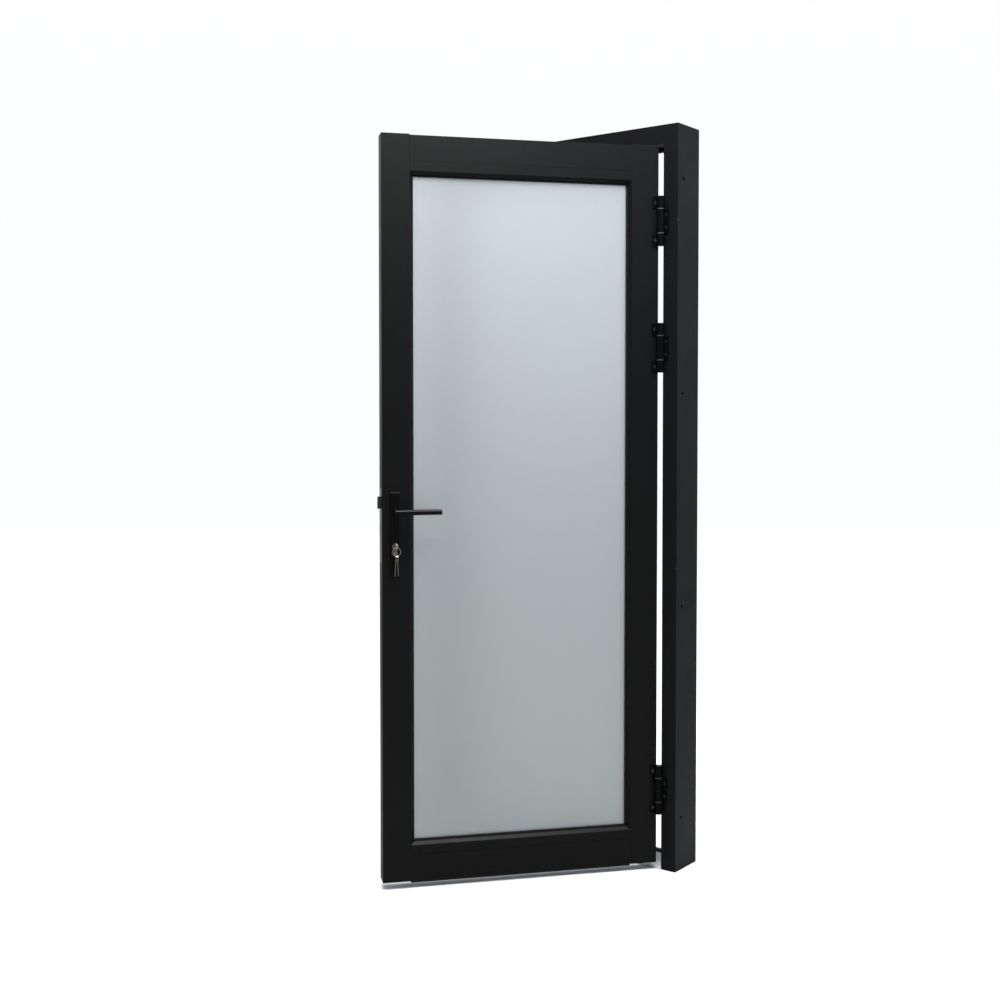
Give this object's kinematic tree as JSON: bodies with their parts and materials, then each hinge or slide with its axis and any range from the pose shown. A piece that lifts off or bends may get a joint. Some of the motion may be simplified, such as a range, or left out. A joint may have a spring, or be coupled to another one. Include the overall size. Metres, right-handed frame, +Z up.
{
  "type": "framed glass door",
  "caption": "Black aluminium swing door with a full frosted glass pane, lever handle and key, hung on hinges in its own box frame with a threshold.",
  "frame": {"origin": "middle of the threshold's base, halfway through the depth of the frame's body", "axes": "+X from the lock side to the hinge side, +Y from the front of the frame to its back, +Z up"},
  "size_m": [0.88, 0.7392, 2.1],
  "materials": {
    "cast_aluminium": "bare die casting",
    "frame_coat": "matt black powder coat, fine texture",
    "leaf_coat": "matt black powder coat, fine texture",
    "hinge_coat": "semi-matt black coat",
    "handle_coat": "satin black coat",
    "threshold_aluminium": "satin anodised silver",
    "seal_rubber": "matt black EPDM",
    "black_nylon": "moulded black nylon",
    "washer_nylon": "moulded white nylon",
    "frosted_glass": "acid-etched frosted glass",
    "zinc_steel": "bright zinc plated",
    "black_screw_steel": "blackened steel",
    "stainless": "brushed stainless steel",
    "latch_steel": "satin nickel plated steel",
    "nickel_brass": "nickel plated brass",
    "plug_brass": "turned brass"
  },
  "bodies": {
    "frame": {"frame_head": "frame_coat", "frame_jamb_hinge": "frame_coat", "frame_jamb_lock": "frame_coat", "threshold": "threshold_aluminium", "threshold_seal": "seal_rubber", "frame_seal": "seal_rubber", "frame_corner_blocks": "cast_aluminium", "frame_screws": "zinc_steel", "strike_plate": "stainless", "strike_screws": "zinc_steel", "hinge_frame_top": "hinge_coat", "hinge_frame_middle": "hinge_coat", "hinge_frame_bottom": "hinge_coat", "hinge_frame_screws": "black_screw_steel", "hinge_washers": "washer_nylon"},
    "leaf": {"stile_lock": "leaf_coat", "stile_hinge": "leaf_coat", "rail_top": "leaf_coat", "rail_bottom": "leaf_coat", "bead_top": "leaf_coat", "bead_bottom": "leaf_coat", "hinge_leaf_top_upper": "hinge_coat", "hinge_leaf_top_lower": "hinge_coat", "hinge_leaf_middle_upper": "hinge_coat", "hinge_leaf_middle_lower": "hinge_coat", "hinge_leaf_bottom_upper": "hinge_coat", "hinge_leaf_bottom_lower": "hinge_coat", "backplate_front": "handle_coat", "backplate_rear": "handle_coat", "gasket_front": "seal_rubber", "gasket_rear": "seal_rubber", "bottom_seal": "seal_rubber", "setting_blocks": "seal_rubber", "stile_caps": "black_nylon", "glass_pane": "frosted_glass", "leaf_corner_blocks": "cast_aluminium", "leaf_corner_screws": "zinc_steel", "faceplate_screws": "zinc_steel", "backplate_bolts": "zinc_steel", "cylinder_screw": "zinc_steel", "lock_case": "zinc_steel", "hinge_leaf_screws": "black_screw_steel", "lock_faceplate": "stainless", "hinge_pin_top": "stainless", "hinge_pin_middle": "stainless", "hinge_pin_bottom": "stainless", "cylinder_body": "nickel_brass"},
    "handle": {"lever_front": "handle_coat", "lever_rear": "handle_coat", "spindle": "zinc_steel", "lock_follower": "zinc_steel"},
    "latch": {"latch_bolt": "latch_steel"},
    "bolt": {"dead_bolt": "zinc_steel"},
    "key_plug": {"cylinder_plug": "plug_brass", "cylinder_cam": "zinc_steel", "key_in_lock": "nickel_brass"},
    "key_bunch": {"key_ring": "stainless", "spare_key_left": "nickel_brass", "spare_key_right": "nickel_brass"}
  },
  "joints": [
    {"name": "door_swing", "type": "hinge", "parent": "frame", "child": "leaf", "pos_m": [0.392, -0.044, 1.033], "axis": [0, 0, 1], "range_deg": [-50, 120]},
    {"name": "lever_turn", "type": "hinge", "parent": "leaf", "child": "handle", "pos_m": [-0.11651, -0.59245, 1.03], "axis": [-0.766, 0.6428, 0], "range_deg": [0, 40], "stiffness_Nm_per_rad": 0.8, "springref_deg": -20.05},
    {"name": "latch_slide", "type": "slide", "parent": "leaf", "child": "latch", "axis": [0.6428, 0.766, 0], "range_m": [0, 0.01]},
    {"name": "key_turn", "type": "hinge", "parent": "leaf", "child": "key_plug", "pos_m": [-0.11651, -0.59245, 0.936], "axis": [-0.766, 0.6428, 0], "range_deg": [0, 360]},
    {"name": "dead_bolt_slide", "type": "slide", "parent": "leaf", "child": "bolt", "axis": [-0.6428, -0.766, 0], "range_m": [0, 0.02]},
    {"name": "key_ring_swing", "type": "hinge", "parent": "key_plug", "child": "key_bunch", "pos_m": [-0.07514, -0.62716, 0.9342], "axis": [-0.6428, -0.766, 0], "range_deg": [-10, 75]}
  ],
  "couplings": [
    {"joint": "latch_slide", "follows": "lever_turn", "m_per_rad": 0.0143},
    {"joint": "dead_bolt_slide", "follows": "key_turn", "m_per_rad": 0.00318}
  ]
}
